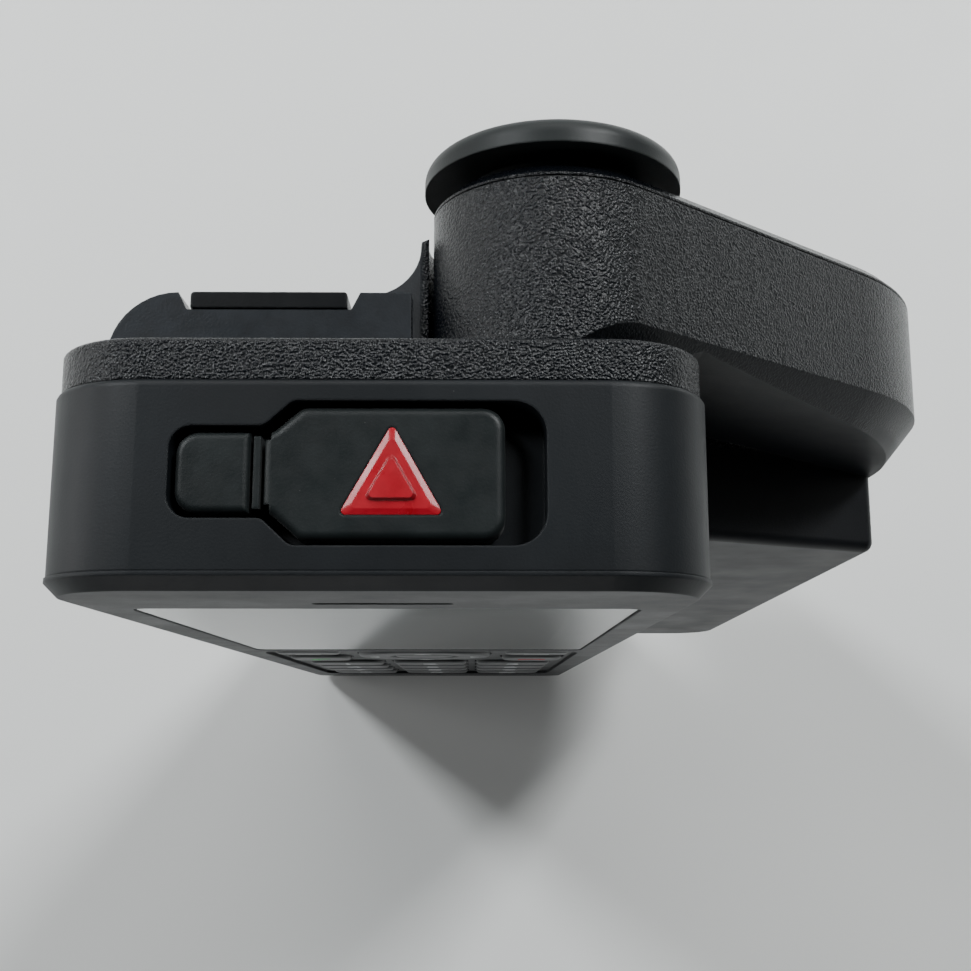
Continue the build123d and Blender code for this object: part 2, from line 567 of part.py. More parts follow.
# ---- antenna pivot ----
FLOOR_BACK_Y = ARM_FRONT_Y + 2.0
BUSH_RADIUS = 5.4
with BuildPart() as pivot_shaft:
    disc(PIVOT_X, PIVOT_Z, (SEAM_Y + 0.1, 4.1), 7.0)
    disc(PIVOT_X, PIVOT_Z, (SEAM_Y + 0.1, 14.0), SHAFT_RADIUS)
    disc(PIVOT_X, PIVOT_Z, (SEAM_Y, 14.1), 1.6, Mode.SUBTRACT)
finish(pivot_shaft.part, "pivot_shaft")

with BuildPart() as antenna_bush:
    disc(PIVOT_X, PIVOT_Z, (ARM_FRONT_Y, FLOOR_BACK_Y + 0.9), BUSH_RADIUS)
    disc(PIVOT_X, PIVOT_Z, (FLOOR_BACK_Y + 0.05, FLOOR_BACK_Y + 0.9), BUSH_RADIUS + 1.4)
    disc(PIVOT_X, PIVOT_Z, (ARM_FRONT_Y - 1, FLOOR_BACK_Y + 1), SHAFT_RADIUS + RUNNING_FIT, Mode.SUBTRACT)
finish(antenna_bush.part, "antenna_bush")

with BuildPart() as friction_washer:
    disc(PIVOT_X, PIVOT_Z, (9.3, 10.0), 6.6)
    disc(PIVOT_X, PIVOT_Z, (9.2, 10.1), SHAFT_RADIUS + RUNNING_FIT, Mode.SUBTRACT)
finish(friction_washer.part, "friction_washer")

with BuildPart() as pivot_nut:
    with BuildSketch(at_y(13.0)) as nut:
        with Locations((PIVOT_X, PIVOT_Z)):
            RegularPolygon(6.8, 6)
            Circle(SHAFT_RADIUS + 0.01, mode=Mode.SUBTRACT)
    extrude(amount=3.0)
finish(pivot_nut.part, "pivot_nut")

# ---- antenna: shell, back cover, cap, and the printed helix on its former ----
UNDERSIDE_Y = (8.0, 4.8)  # front of the arm beside the handset and at the elbow
BEVEL_Y = 8.6  # back edge of the bevel along the outer side
ELBOW = (ANTENNA_X[1], beside_pivot(0, BARREL_RADIUS)[1]
         - (ANTENNA_X[1] - beside_pivot(0, BARREL_RADIUS)[0]) * tan(radians(ARM_ANGLE)))
INNER_CORNER = (ANTENNA_X[0], beside_pivot(0, -BARREL_RADIUS)[1]
                - (ANTENNA_X[0] - beside_pivot(0, -BARREL_RADIUS)[0]) * tan(radians(ARM_ANGLE)))


def antenna_face(inset):
    """Outline of the antenna in the X-Z plane: round barrel, sloping arm and straight paddle."""
    with BuildSketch() as outline:
        with BuildLine():
            Polyline(
                beside_pivot(0, BARREL_RADIUS),
                ELBOW,
                (ANTENNA_X[1], ANTENNA_TIP_Z),
                (ANTENNA_X[0], ANTENNA_TIP_Z),
                INNER_CORNER,
                beside_pivot(0, -BARREL_RADIUS),
                close=True,
            )
        make_face()
        fillet(outline.vertices().sort_by_distance(ELBOW)[0], ELBOW_RADIUS)
        fillet(outline.vertices().group_by(Axis.Y)[0], 8.0)
        fillet(outline.vertices().sort_by_distance(INNER_CORNER)[0], 2.0)
        with Locations((PIVOT_X, PIVOT_Z)):
            Circle(BARREL_RADIUS)
        if inset:
            offset(amount=-inset, mode=Mode.REPLACE)
    return outline.sketch


with BuildPart() as paddle_front:
    # thick front part of the paddle, which hangs beside the handset; its upper end slopes to the outer side
    with BuildSketch(at_y(UNDERSIDE_Y[0])) as paddle_outline:
        with BuildLine():
            Polyline(
                (ANTENNA_X[0], PADDLE_FOOT_Z),
                (PADDLE_SIDE_X, PADDLE_FOOT_Z),
                (PADDLE_SIDE_X, PADDLE_TOP_Z[1]),
                (ANTENNA_X[0], PADDLE_TOP_Z[0]),
                close=True,
            )
        make_face()
        fillet(paddle_outline.vertices().group_by(Axis.Y)[0], 7.0)
        fillet(paddle_outline.vertices().sort_by_distance((PADDLE_SIDE_X, PADDLE_TOP_Z[1]))[0], 1.2)
    extrude(amount=40.0)
    with BuildSketch(Plane.YZ.offset(ANTENNA_X[0])) as paddle_side:
        with BuildLine():
            Polyline(
                (UNDERSIDE_Y[0], ANTENNA_TIP_Z),
                (PADDLE_FRONT_TIP_Y, ANTENNA_TIP_Z),
                (PADDLE_FRONT_TOP_Y, PADDLE_TOP_Z[0]),
                (UNDERSIDE_Y[0], PADDLE_TOP_Z[0]),
                close=True,
            )
        make_face()
    extrude(amount=PADDLE_SIDE_X - ANTENNA_X[0], mode=Mode.INTERSECT)
    fillet(paddle_front.faces().sort_by(Axis.Y)[0].edges(), 1.1)

BEVEL_TAPER = degrees(atan((ANTENNA_X[1] - PADDLE_SIDE_X) / (BEVEL_Y - UNDERSIDE_Y[1])))
with BuildPart() as shell_front:
    # front of the arm and paddle, bevelled along the outer side only: the bevel's outline runs on past the rest
    extrude(at_y(BEVEL_Y) * antenna_face(0), amount=BEVEL_Y - UNDERSIDE_Y[1])
    with BuildSketch() as bevel_outline:
        with BuildLine():
            Polyline(
                beside_pivot(-60.0, BARREL_RADIUS),
                ELBOW,
                (ANTENNA_X[1], ANTENNA_TIP_Z - 20),
                (PIVOT_X - 60, ANTENNA_TIP_Z - 20),
                close=True,
            )
        make_face()
        fillet(bevel_outline.vertices().sort_by_distance(ELBOW)[0], ELBOW_RADIUS)
    extrude(at_y(BEVEL_Y) * bevel_outline.sketch, amount=BEVEL_Y - UNDERSIDE_Y[1], taper=BEVEL_TAPER,
            mode=Mode.INTERSECT)

with BuildPart() as antenna_shell:
    extrude(at_y(SHELL_BACK_Y) * antenna_face(0), amount=SHELL_BACK_Y - BEVEL_Y)
    add(shell_front.part)
    with BuildSketch(Plane.XY.offset(ANTENNA_TIP_Z - 5)) as underside:
        with BuildLine():
            Polyline(
                (PIVOT_X - 20, ARM_FRONT_Y),
                (PIVOT_X + BARREL_RADIUS - 2.2, ARM_FRONT_Y),
                (ANTENNA_X[0], UNDERSIDE_Y[0]),
                (PADDLE_SIDE_X, UNDERSIDE_Y[1]),
                (ANTENNA_X[1] + 1, UNDERSIDE_Y[1]),
                (ANTENNA_X[1] + 1, UNDERSIDE_Y[1] - 5),
                (PIVOT_X - 20, UNDERSIDE_Y[1] - 5),
                close=True,
            )
        make_face()
    extrude(amount=150, mode=Mode.SUBTRACT)
    add(paddle_front.part)
    # hollow: arm and paddle, open at the back
    extrude(at_y(SHELL_BACK_Y + 1) * antenna_face(ANTENNA_WALL), amount=SHELL_BACK_Y + 1 - 10.0,
            mode=Mode.SUBTRACT)
    disc(PIVOT_X, PIVOT_Z, (FLOOR_BACK_Y, SHELL_BACK_Y + 1), BARREL_RADIUS - ANTENNA_WALL, Mode.SUBTRACT)
    disc(PIVOT_X, PIVOT_Z, (ARM_FRONT_Y - 1, FLOOR_BACK_Y + 1), BUSH_RADIUS + 0.01, Mode.SUBTRACT)
    slab((ANTENNA_X[0] + ANTENNA_WALL, PADDLE_SIDE_X - ANTENNA_WALL),
         (PADDLE_FOOT_Z + ANTENNA_WALL, PADDLE_TOP_Z[1] - ANTENNA_WALL), (-1.0, 12.0), 3.0, Mode.SUBTRACT)
finish(antenna_shell.part, "antenna_shell")

with BuildPart() as antenna_cover:
    extrude(at_y(COVER_Y[1]) * antenna_face(0), amount=COVER_Y[1] - COVER_Y[0])
    chamfer(antenna_cover.faces().sort_by(Axis.Y)[-1].edges(), 0.9)
    disc(PIVOT_X, PIVOT_Z, (SHELL_BACK_Y, COVER_Y[1] + 1), 7.3, Mode.SUBTRACT)
finish(antenna_cover.part, "antenna_cover")

with BuildPart() as pivot_cap:
    disc(PIVOT_X, PIVOT_Z, CAP_Y, CAP_RADIUS)
    fillet(pivot_cap.faces().sort_by(Axis.Y)[-1].edges(), 1.4)
    disc(PIVOT_X, PIVOT_Z, (18.2, CAP_Y[0]), 7.2)
    disc(PIVOT_X, PIVOT_Z, (18.0, CAP_Y[0] - 0.6), 5.8, Mode.SUBTRACT)
finish(pivot_cap.part, "pivot_cap")

HELIX_X = 36.0
HELIX_Y = 8.6
with BuildPart() as antenna_former:
    with Locations((HELIX_X, HELIX_Y, 72.0)):
        Cylinder(7.6, 84.0)
        Cylinder(6.6, 84.0, mode=Mode.SUBTRACT)
finish(antenna_former.part, "antenna_former")

with BuildPart() as antenna_element:
    with Locations((HELIX_X, HELIX_Y, 72.0)):
        Cylinder(7.85, 80.0)
        Cylinder(7.62, 80.0, mode=Mode.SUBTRACT)
finish(antenna_element.part, "antenna_element")

LEAD_RADIUS = 0.8
with BuildPart() as antenna_lead:
    with BuildLine() as route:
        FilletPolyline(
            (PIVOT_X, BOARD_Y[1] + 0.1, PIVOT_Z),
            (PIVOT_X, 16.4, PIVOT_Z),
            (38.0, 16.4, 134.0),
            (38.0, 16.4, 116.0),
            radius=3.0,
        )
    with BuildSketch(at_y(BOARD_Y[1] + 0.1)):
        with Locations((PIVOT_X, PIVOT_Z)):
            Circle(LEAD_RADIUS)
    sweep()
finish(antenna_lead.part, "antenna_lead")
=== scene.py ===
import json
import math

import bmesh
import bpy
from mathutils import Matrix, Vector


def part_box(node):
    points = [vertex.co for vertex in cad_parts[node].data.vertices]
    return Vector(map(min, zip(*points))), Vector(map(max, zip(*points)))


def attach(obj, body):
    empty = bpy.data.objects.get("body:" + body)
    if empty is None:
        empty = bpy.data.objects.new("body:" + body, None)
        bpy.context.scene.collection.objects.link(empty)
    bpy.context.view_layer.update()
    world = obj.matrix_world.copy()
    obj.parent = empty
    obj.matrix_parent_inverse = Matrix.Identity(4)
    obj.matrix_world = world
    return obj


# Looks of the satellite handset: materials for the CAD nodes, key legends, the earpiece grille, the print on
# the window, the pale floor, the studio light and the camera over the top end.

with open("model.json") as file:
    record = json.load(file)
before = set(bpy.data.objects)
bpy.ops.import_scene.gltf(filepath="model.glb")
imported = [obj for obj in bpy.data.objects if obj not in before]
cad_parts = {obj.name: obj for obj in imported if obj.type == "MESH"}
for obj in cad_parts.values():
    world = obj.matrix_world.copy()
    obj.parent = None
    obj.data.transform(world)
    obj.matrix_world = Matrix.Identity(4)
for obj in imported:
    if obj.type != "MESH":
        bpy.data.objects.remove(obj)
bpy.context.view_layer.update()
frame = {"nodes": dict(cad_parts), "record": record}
nodes = frame["nodes"]
MM = 0.001
LEGEND_HALF = 0.05 * MM

# Start and end of each fade of the grain, in metres of the row frame
PLATEAU_FADE_Y = (0.0060, 0.0063)
PLATEAU_FADE_X = (0.0030, 0.0026)
UNDERSIDE_FADE_Z = (0.141, 0.139)
UNDERSIDE_FADE_Y = (0.0066, 0.0060)


# ---- node helpers ----
class Shader:
    """A material's node tree with short calls for the nodes that these surfaces share."""

    def __init__(self, name):
        self.material = bpy.data.materials.new(name)
        self.material.use_nodes = True
        self.tree = self.material.node_tree
        self.surface = self.tree.nodes["Principled BSDF"]

    def node(self, kind, **settings):
        made = self.tree.nodes.new(kind)
        for key, value in settings.items():
            setattr(made, key, value)
        return made

    def link(self, output, target):
        self.tree.links.new(output, target)

    def position(self):
        """Object coordinates: the row frame in metres, which ride with the body."""
        return self.node("ShaderNodeTexCoord").outputs["Object"]

    def noise(self, scale, detail=3.0, roughness=0.55, stretch=None):
        """Fractal noise with features about 1 / scale metres across."""
        texture = self.node("ShaderNodeTexNoise")
        texture.inputs["Scale"].default_value = scale
        texture.inputs["Detail"].default_value = detail
        texture.inputs["Roughness"].default_value = roughness
        self.link(self.stretched(stretch), texture.inputs["Vector"])
        return texture.outputs["Fac"]

    def cells(self, scale, feature="F1", randomness=1.0):
        """Distance within a pattern of cells about 1 / scale metres across."""
        texture = self.node("ShaderNodeTexVoronoi", feature=feature)
        texture.inputs["Scale"].default_value = scale
        texture.inputs["Randomness"].default_value = randomness
        self.link(self.position(), texture.inputs["Vector"])
        return texture.outputs["Distance"]

    def stretched(self, stretch):
        """Object coordinates, scaled per axis where a stretch is given."""
        if stretch is None:
            return self.position()
        mapping = self.node("ShaderNodeMapping")
        mapping.inputs["Scale"].default_value = stretch
        self.link(self.position(), mapping.inputs["Vector"])
        return mapping.outputs["Vector"]

    def remap(self, value, low, high, to_low, to_high):
        """Clamped straight-line change of range."""
        node = self.node("ShaderNodeMapRange")
        for key, number in zip(("From Min", "From Max", "To Min", "To Max"), (low, high, to_low, to_high)):
            node.inputs[key].default_value = number
        self.link(value, node.inputs["Value"])
        return node.outputs["Result"]

    def math(self, operation, first, second):
        node = self.node("ShaderNodeMath", operation=operation)
        for socket, value in zip(node.inputs, (first, second)):
            if isinstance(value, (int, float)):
                socket.default_value = value
            else:
                self.link(value, socket)
        return node.outputs[0]

    def mix(self, factor, first, second):
        """Colour mix of two colours or colour sockets."""
        node = self.node("ShaderNodeMix", data_type="RGBA")
        self.link(factor, node.inputs["Factor"])
        for key, value in (("A", first), ("B", second)):
            socket = next(s for s in node.inputs if s.name == key and s.type == "RGBA")
            if isinstance(value, tuple):
                socket.default_value = (*value, 1.0)
            else:
                self.link(value, socket)
        return next(s for s in node.outputs if s.type == "RGBA")

    def bump(self, height, depth, strength=1.0, base=None):
        node = self.node("ShaderNodeBump")
        node.inputs["Strength"].default_value = strength
        node.inputs["Distance"].default_value = depth
        self.link(height, node.inputs["Height"])
        if base is not None:
            self.link(base, node.inputs["Normal"])
        return node.outputs["Normal"]

    def soft_edges(self, radius):
        """Normals rounded over sharp edges, as a moulding's edges are."""
        node = self.node("ShaderNodeBevel", samples=4)
        node.inputs["Radius"].default_value = radius
        return node.outputs["Normal"]

    def facing(self, axis):
        """How far the surface faces along an axis of the row frame, from -1 to 1."""
        split = self.node("ShaderNodeSeparateXYZ")
        self.link(self.node("ShaderNodeNewGeometry").outputs["Normal"], split.inputs["Vector"])
        return split.outputs[axis]

    def set(self, **values):
        """Set or link the surface's own sockets: colour, roughness, metallic and so on."""
        names = {"color": "Base Color", "roughness": "Roughness", "metallic": "Metallic", "normal": "Normal",
                 "specular": "Specular IOR Level", "sheen": "Sheen Weight", "ior": "IOR",
                 "transmission": "Transmission Weight", "emission": "Emission Color",
                 "emission_strength": "Emission Strength"}
        for key, value in values.items():
            socket = self.surface.inputs[names[key]]
            if isinstance(value, tuple):
                socket.default_value = (*value, 1.0)
            elif isinstance(value, (int, float)):
                socket.default_value = value
            else:
                self.link(value, socket)
        return self.material


# ---- materials ----
def smooth_housing(name, base, rough):
    """Fine matt charcoal moulding: faint mottling, handling marks and a fine spark-eroded grain."""
    s = Shader(name)
    mottle = s.remap(s.noise(55.0, 4.0), 0.35, 0.68, 0.0, 1.0)
    darker = tuple(c * 0.8 for c in base)
    lighter = tuple(c * 1.25 for c in base)
    dust = s.remap(s.cells(620.0), 0.045, 0.02, 0.0, 1.0)
    dust = s.math("MULTIPLY", dust, s.remap(s.noise(160.0, 1.0), 0.62, 0.66, 0.0, 0.55))
    colour = s.mix(dust, s.mix(mottle, darker, lighter), (0.16, 0.16, 0.15))
    smear = s.remap(s.noise(90.0, 5.0, 0.7, (1.0, 0.35, 1.0)), 0.3, 0.75, rough - 0.06, rough + 0.09)
    grain = s.noise(5200.0, 2.0)
    normal = s.bump(grain, 0.000018, 0.5, s.soft_edges(0.00022))
    return s.set(color=colour, roughness=smear, normal=normal, specular=0.27)


def grained_housing(name, base, depth, rough):
    """Leather-grained moulding: fine pebbles and creases, shinier on their tops.

    The grain fades out under the arm, on the front of the paddle and on the end wall of the battery plateau.
    """
    s = Shader(name)
    warp = s.node("ShaderNodeVectorMath", operation="MULTIPLY_ADD")
    wobble = s.node("ShaderNodeTexNoise")
    wobble.inputs["Scale"].default_value = 3600.0
    s.link(s.position(), wobble.inputs["Vector"])
    s.link(wobble.outputs["Color"], warp.inputs[0])
    warp.inputs[1].default_value = (0.00013, 0.00013, 0.00013)
    s.link(s.position(), warp.inputs[2])
    pebbles = s.node("ShaderNodeTexVoronoi", feature="SMOOTH_F1")
    pebbles.inputs["Scale"].default_value = 4700.0
    pebbles.inputs["Smoothness"].default_value = 0.3
    s.link(warp.outputs["Vector"], pebbles.inputs["Vector"])
    pebble = s.remap(pebbles.outputs["Distance"], 0.1, 0.75, 1.0, 0.0)
    fine = s.noise(11000.0, 2.0, 0.6)
    swell = s.noise(2400.0, 2.0, 0.5)
    height = s.math("ADD", pebble, s.math("MULTIPLY", fine, 0.4))
    height = s.math("ADD", height, s.math("MULTIPLY", swell, 0.7))
    place = s.node("ShaderNodeSeparateXYZ")
    s.link(s.position(), place.inputs["Vector"])
    upward = s.remap(s.facing("Z"), 0.5, 0.8, 0.0, 1.0)
    on_plateau = s.math("MULTIPLY", s.remap(place.outputs["Y"], *PLATEAU_FADE_Y, 0.0, 1.0),
                        s.remap(place.outputs["X"], *PLATEAU_FADE_X, 0.0, 1.0))
    below_arm = s.remap(place.outputs["Z"], *UNDERSIDE_FADE_Z, 0.0, 1.0)
    below_arm = s.math("MULTIPLY", below_arm, s.remap(place.outputs["Y"], *UNDERSIDE_FADE_Y, 0.0, 1.0))
    smooth = s.math("MAXIMUM", s.math("MULTIPLY", upward, on_plateau), below_arm)
    grained = s.math("MULTIPLY", s.remap(s.facing("Y"), -0.75, -0.3, 0.06, 1.0),
                     s.remap(smooth, 0.0, 1.0, 1.0, 0.08))
    height = s.math("MULTIPLY", height, grained)
    # Painted shade: the colour darkens to half its base in the creases between the pebbles.
    crease_shade = s.remap(pebble, 0.1, 0.7, 0.0, 1.0)
    colour = s.mix(crease_shade, tuple(c * 0.5 for c in base), base)
    dull = s.mix(s.remap(s.noise(650.0, 4.0, 0.65), 0.35, 0.7, 0.0, 1.0), (0.0045, 0.0065, 0.0090),
                 (0.0105, 0.0140, 0.0185))
    colour = s.mix(s.math("MULTIPLY", upward, on_plateau), colour, dull)
    broad = s.remap(s.noise(40.0, 3.0), 0.3, 0.7, 0.0, 0.3)
    colour = s.mix(broad, colour, tuple(c * 1.6 for c in base))
    grain_rough = s.remap(pebble, 0.2, 0.9, rough + 0.12, rough)
    smooth_rough = s.remap(s.noise(130.0), 0.3, 0.7, 0.42, 0.52)
    blend = s.node("ShaderNodeMix", data_type="FLOAT")
    s.link(grained, blend.inputs["Factor"])
    s.link(smooth_rough, blend.inputs["A"])
    s.link(grain_rough, blend.inputs["B"])
    normal = s.bump(height, depth, 1.0, s.soft_edges(0.0002))
    return s.set(color=colour, roughness=blend.outputs["Result"], normal=normal, specular=0.3)


def soft_rubber(name, base, rough, sheen=0.15):
    """Soft-touch elastomer: even, dull, with a faint bloom and tiny pits."""
    s = Shader(name)
    bloom = s.remap(s.noise(240.0, 4.0), 0.35, 0.7, 0.0, 1.0)
    colour = s.mix(bloom, tuple(c * 0.85 for c in base), tuple(c * 1.3 for c in base))
    specks = s.remap(s.cells(1500.0), 0.07, 0.03, 0.0, 0.35)
    specks = s.math("MULTIPLY", specks, s.remap(s.noise(300.0, 1.0), 0.6, 0.64, 0.0, 1.0))
    colour = s.mix(specks, colour, (0.2, 0.2, 0.19))
    normal = s.bump(s.noise(4200.0, 2.0), 0.00002, 0.5, s.soft_edges(0.0003))
    worn = s.remap(s.noise(500.0, 3.0), 0.3, 0.7, rough - 0.05, rough + 0.08)
    return s.set(color=colour, roughness=worn, normal=normal, sheen=sheen, specular=0.3)


def warning_red():
    """Moulded satin red with slight mottling, and painted shade that makes the sloped surround darker."""
    s = Shader("warning_red")
    mottle = s.remap(s.noise(700.0, 3.0), 0.3, 0.7, 0.0, 1.0)
    # Painted shade: faces that tip away from straight up, the sloped surround, get a darker red; the
    # up-facing top keeps the lit red.
    up_facing_lit = s.remap(s.facing("Z"), 0.6, 0.97, 0.0, 1.0)
    bright = s.mix(mottle, (0.33, 0.006, 0.014), (0.42, 0.010, 0.022))
    colour = s.mix(up_facing_lit, (0.24, 0.006, 0.012), bright)
    normal = s.bump(s.noise(3800.0, 2.0), 0.000012, 0.4, s.soft_edges(0.00012))
    return s.set(color=colour, roughness=s.remap(s.noise(420.0), 0.3, 0.7, 0.26, 0.36), normal=normal,
                 specular=0.5)


def window_glass():
    """Hard-coated clear window with faint smears."""
    s = Shader("window")
    smear = s.remap(s.noise(45.0, 5.0, 0.7), 0.4, 0.75, 0.02, 0.09)
    return s.set(color=(0.86, 0.9, 0.9), roughness=smear, transmission=1.0, ior=1.49)


def display_panel():
    """Unlit display: grey-green field with a fine pixel grid."""
    s = Shader("lcd")
    columns = s.node("ShaderNodeTexWave", wave_type="BANDS", bands_direction="X")
    columns.inputs["Scale"].default_value = 900.0
    s.link(s.position(), columns.inputs["Vector"])
    rows = s.node("ShaderNodeTexWave", wave_type="BANDS", bands_direction="Z")
    rows.inputs["Scale"].default_value = 900.0
    s.link(s.position(), rows.inputs["Vector"])
    grid = s.math("MULTIPLY", s.remap(columns.outputs["Fac"], 0.0, 0.3, 0.6, 1.0),
                  s.remap(rows.outputs["Fac"], 0.0, 0.3, 0.6, 1.0))
    cloud = s.mix(s.remap(s.noise(30.0), 0.3, 0.7, 0.0, 1.0), (0.040, 0.050, 0.050), (0.052, 0.062, 0.058))
    colour = s.mix(grid, (0.026, 0.03, 0.032), cloud)
    return s.set(color=colour, roughness=0.22, specular=0.5)


def metal(name, base, rough):
    """Sheet or turned metal with fine scratches along the handset."""
    s = Shader(name)
    lines = s.noise(9000.0, 2.0, 0.6, (1.0, 1.0, 0.05))
    colour = s.mix(s.remap(s.noise(300.0), 0.3, 0.7, 0.0, 1.0), tuple(c * 0.85 for c in base), base)
    normal = s.bump(lines, 0.00001, 0.3, s.soft_edges(0.0001))
    return s.set(color=colour, roughness=s.remap(lines, 0.3, 0.7, rough - 0.06, rough + 0.1), normal=normal,
                 metallic=1.0)


def circuit_board():
    """Green solder mask over traces, with bare pads."""
    s = Shader("circuit_board")
    traces = s.remap(s.cells(700.0, "DISTANCE_TO_EDGE"), 0.02, 0.07, 0.0, 1.0)
    colour = s.mix(traces, (0.015, 0.10, 0.045), (0.008, 0.055, 0.028))
    pads = s.remap(s.cells(420.0, randomness=0.4), 0.14, 0.10, 0.0, 1.0)
    colour = s.mix(pads, colour, (0.5, 0.45, 0.3))
    return s.set(color=colour, roughness=0.35, normal=s.bump(traces, 0.00003, 0.6))


def plain_moulding(name, base, rough):
    """Dark moulded part inside the handset."""
    s = Shader(name)
    colour = s.mix(s.remap(s.noise(400.0), 0.3, 0.7, 0.0, 1.0), tuple(c * 0.8 for c in base), base)
    return s.set(color=colour, roughness=s.remap(s.noise(250.0), 0.3, 0.7, rough - 0.05, rough + 0.08),
                 normal=s.bump(s.noise(3000.0), 0.00002, 0.4, s.soft_edges(0.00015)))


def printed_ink(name, colour, rough=0.5):
    """Printed or moulded-in marking with slightly uneven cover."""
    s = Shader(name)
    cover = s.remap(s.noise(2500.0, 3.0), 0.3, 0.7, 0.0, 1.0)
    return s.set(color=s.mix(cover, tuple(c * 0.82 for c in colour), colour),
                 roughness=s.remap(s.noise(1200.0), 0.3, 0.7, rough - 0.06, rough + 0.06))


def pale_floor():
    """Plain pale matt table with a very faint unevenness, and painted light: it glows a little, more behind
    the handset.
    """
    s = Shader("stage_floor")
    cloud = s.remap(s.noise(3.0, 3.0), 0.3, 0.7, 0.0, 1.0)
    pale = s.mix(cloud, (0.80, 0.815, 0.80), (0.84, 0.85, 0.835))
    place = s.node("ShaderNodeSeparateXYZ")
    s.link(s.position(), place.inputs["Vector"])
    # Painted light: the floor glows, from none in front of the handset to the most behind it.
    painted_glow = s.remap(place.outputs["Y"], -0.03, 0.12, 0.0, 0.24)
    return s.set(color=pale, roughness=s.remap(s.noise(60.0), 0.3, 0.7, 0.5, 0.62), emission=pale,
                 emission_strength=painted_glow)


MATERIALS = {
    "housing_smooth": smooth_housing("housing_smooth", (0.0056, 0.0074, 0.0092), 0.46),
    "housing_grained": grained_housing("housing_grained", (0.0022, 0.0033, 0.0052), 0.000055, 0.17),
    "window": window_glass(),
    "lcd": display_panel(),
    "silicone": soft_rubber("silicone", (0.014, 0.015, 0.017), 0.55),
    "spring_steel": metal("spring_steel", (0.55, 0.56, 0.58), 0.28),
    "circuit_board": circuit_board(),
    "inner_plastic": plain_moulding("inner_plastic", (0.05, 0.05, 0.055), 0.45),
    "plated_steel": metal("plated_steel", (0.62, 0.62, 0.60), 0.32),
    "ceramic_patch": plain_moulding("ceramic_patch", (0.55, 0.50, 0.42), 0.5),
    "battery_wrap": plain_moulding("battery_wrap", (0.04, 0.04, 0.045), 0.4),
    "gold_contact": metal("gold_contact", (0.85, 0.62, 0.28), 0.2),
    "latch_plastic": smooth_housing("latch_plastic", (0.0025, 0.0032, 0.0042), 0.34),
    "flap_rubber": soft_rubber("flap_rubber", (0.0062, 0.0092, 0.0096), 0.42, 0.05),
    "warning_red": warning_red(),
    "cap_plastic": smooth_housing("cap_plastic", (0.0115, 0.0145, 0.0145), 0.42),
    "copper_film": metal("copper_film", (0.80, 0.42, 0.28), 0.3),
    "lead_jacket": plain_moulding("lead_jacket", (0.02, 0.02, 0.02), 0.5),
    "key_rubber": soft_rubber("key_rubber", (0.022, 0.024, 0.026), 0.42),
}
SLOT_OF = {part["node"]: part["material_slot"] for part in frame["record"]["subparts"]}
for name, node in nodes.items():
    node.data.materials.clear()
    node.data.materials.append(MATERIALS[SLOT_OF[name]])

INK_WHITE = printed_ink("ink_white", (0.62, 0.64, 0.64))
INK_GREEN = printed_ink("ink_green", (0.05, 0.42, 0.09))
INK_RED = printed_ink("ink_red", (0.55, 0.03, 0.03))
MASK_BLACK = printed_ink("mask_black", (0.006, 0.007, 0.008), 0.4)


# ---- pieces ----
def place_mesh(name, mesh, body, material):
    """Add a mesh as a named piece that rides a body."""
    piece = bpy.data.objects.new(name, mesh)
    bpy.context.scene.collection.objects.link(piece)
    piece.data.materials.clear()
    piece.data.materials.append(material)
    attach(piece, body)
    return piece


def solid_from_loops(loops, y_front, y_back):
    """Closed prism along Y from outlines in X and Z: the first loop is the edge, the others are holes."""
    curve = bpy.data.curves.new("outline", "CURVE")
    curve.dimensions = "2D"
    curve.fill_mode = "BOTH"
    curve.extrude = (y_back - y_front) / 2
    for loop in loops:
        spline = curve.splines.new("POLY")
        spline.points.add(len(loop) - 1)
        spline.use_cyclic_u = True
        for point, (x, z) in zip(spline.points, loop):
            point.co = (x, z, 0, 1)
    holder = bpy.data.objects.new("outline", curve)
    bpy.context.scene.collection.objects.link(holder)
    bpy.context.view_layer.update()
    mesh = bpy.data.meshes.new_from_object(holder.evaluated_get(bpy.context.evaluated_depsgraph_get()))
    bpy.data.objects.remove(holder)
    bpy.data.curves.remove(curve)
    upright = Matrix.Translation((0, (y_front + y_back) / 2, 0)) @ Matrix.Rotation(math.radians(90), 4, "X")
    mesh.transform(upright)
    weld(mesh)
    return mesh


def weld(mesh):
    """Join the doubled points that curve and text meshes come with."""
    edit = bmesh.new()
    edit.from_mesh(mesh)
    bmesh.ops.remove_doubles(edit, verts=edit.verts, dist=1e-7)
    bmesh.ops.recalc_face_normals(edit, faces=edit.faces)
    edit.to_mesh(mesh)
    edit.free()


def rounded_loop(x0, x1, z0, z1, radius, steps=8):
    """Points round a rectangle with rounded corners."""
    points = []
    corners = [(x1 - radius, z1 - radius, 0), (x0 + radius, z1 - radius, 90), (x0 + radius, z0 + radius, 180),
               (x1 - radius, z0 + radius, 270)]
    for cx, cz, start in corners:
        for step in range(steps + 1):
            angle = math.radians(start + 90 * step / steps)
            points.append((cx + radius * math.cos(angle), cz + radius * math.sin(angle)))
    return points


def legend(name, text, x, z, size, y_front, body, material):
    """Raised marking on a key: a generic digit or sign, a tenth of a millimetre thick."""
    curve = bpy.data.curves.new(name, "FONT")
    curve.body = text
    curve.size = size
    curve.align_x = "CENTER"
    curve.align_y = "CENTER"
    curve.extrude = LEGEND_HALF
    curve.resolution_u = 6
    holder = bpy.data.objects.new(name + "_text", curve)
    bpy.context.scene.collection.objects.link(holder)
    bpy.context.view_layer.update()
    mesh = bpy.data.meshes.new_from_object(holder.evaluated_get(bpy.context.evaluated_depsgraph_get()))
    bpy.data.objects.remove(holder)
    mesh.transform(Matrix.Translation((x, y_front, z)) @ Matrix.Rotation(math.radians(90), 4, "X"))
    weld(mesh)
    return place_mesh(name, mesh, body, material)


def key_middle(node):
    """Middle of a key in X and Z, and the Y of its front."""
    low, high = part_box(node)
    return (low.x + high.x) / 2, (low.z + high.z) / 2, low.y


